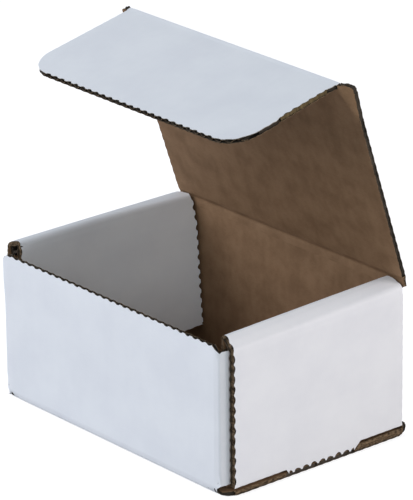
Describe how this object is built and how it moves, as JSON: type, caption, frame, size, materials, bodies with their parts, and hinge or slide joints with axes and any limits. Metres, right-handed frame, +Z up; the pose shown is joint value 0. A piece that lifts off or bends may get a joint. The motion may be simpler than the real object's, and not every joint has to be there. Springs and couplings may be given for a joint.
{
  "type": "corrugated mailer box",
  "caption": "One-piece corrugated board mailer box with rolled side walls and dust flaps, and a hinged lid whose front edge carries a tuck flap.",
  "frame": {"origin": "middle of the box's footprint, on the surface that it stands on", "axes": "+X to the box's right side wall, +Y to the back wall that carries the lid, +Z up"},
  "size_m": [0.2125, 0.1435, 0.2297],
  "materials": {
    "corrugated_board": "uncoated white liner outside, brown kraft liner inside, raw fluted edges"
  },
  "bodies": {
    "box": {"tray": "corrugated_board"},
    "lid": {"lid": "corrugated_board"},
    "flap": {"tuck_flap": "corrugated_board"}
  },
  "joints": [
    {"name": "lid_crease", "type": "hinge", "parent": "box", "child": "lid", "pos_m": [0, 0.07035, 0.0964], "axis": [-1, 0, 0], "range_deg": [-71, 109]},
    {"name": "flap_crease", "type": "hinge", "parent": "lid", "child": "flap", "pos_m": [0, 0.02552, 0.2266], "axis": [-1, 0, 0], "range_deg": [-50, 77]}
  ],
  "couplings": [
    {"joint": "flap_crease", "follows": "lid_crease", "ratio": 0.7}
  ]
}
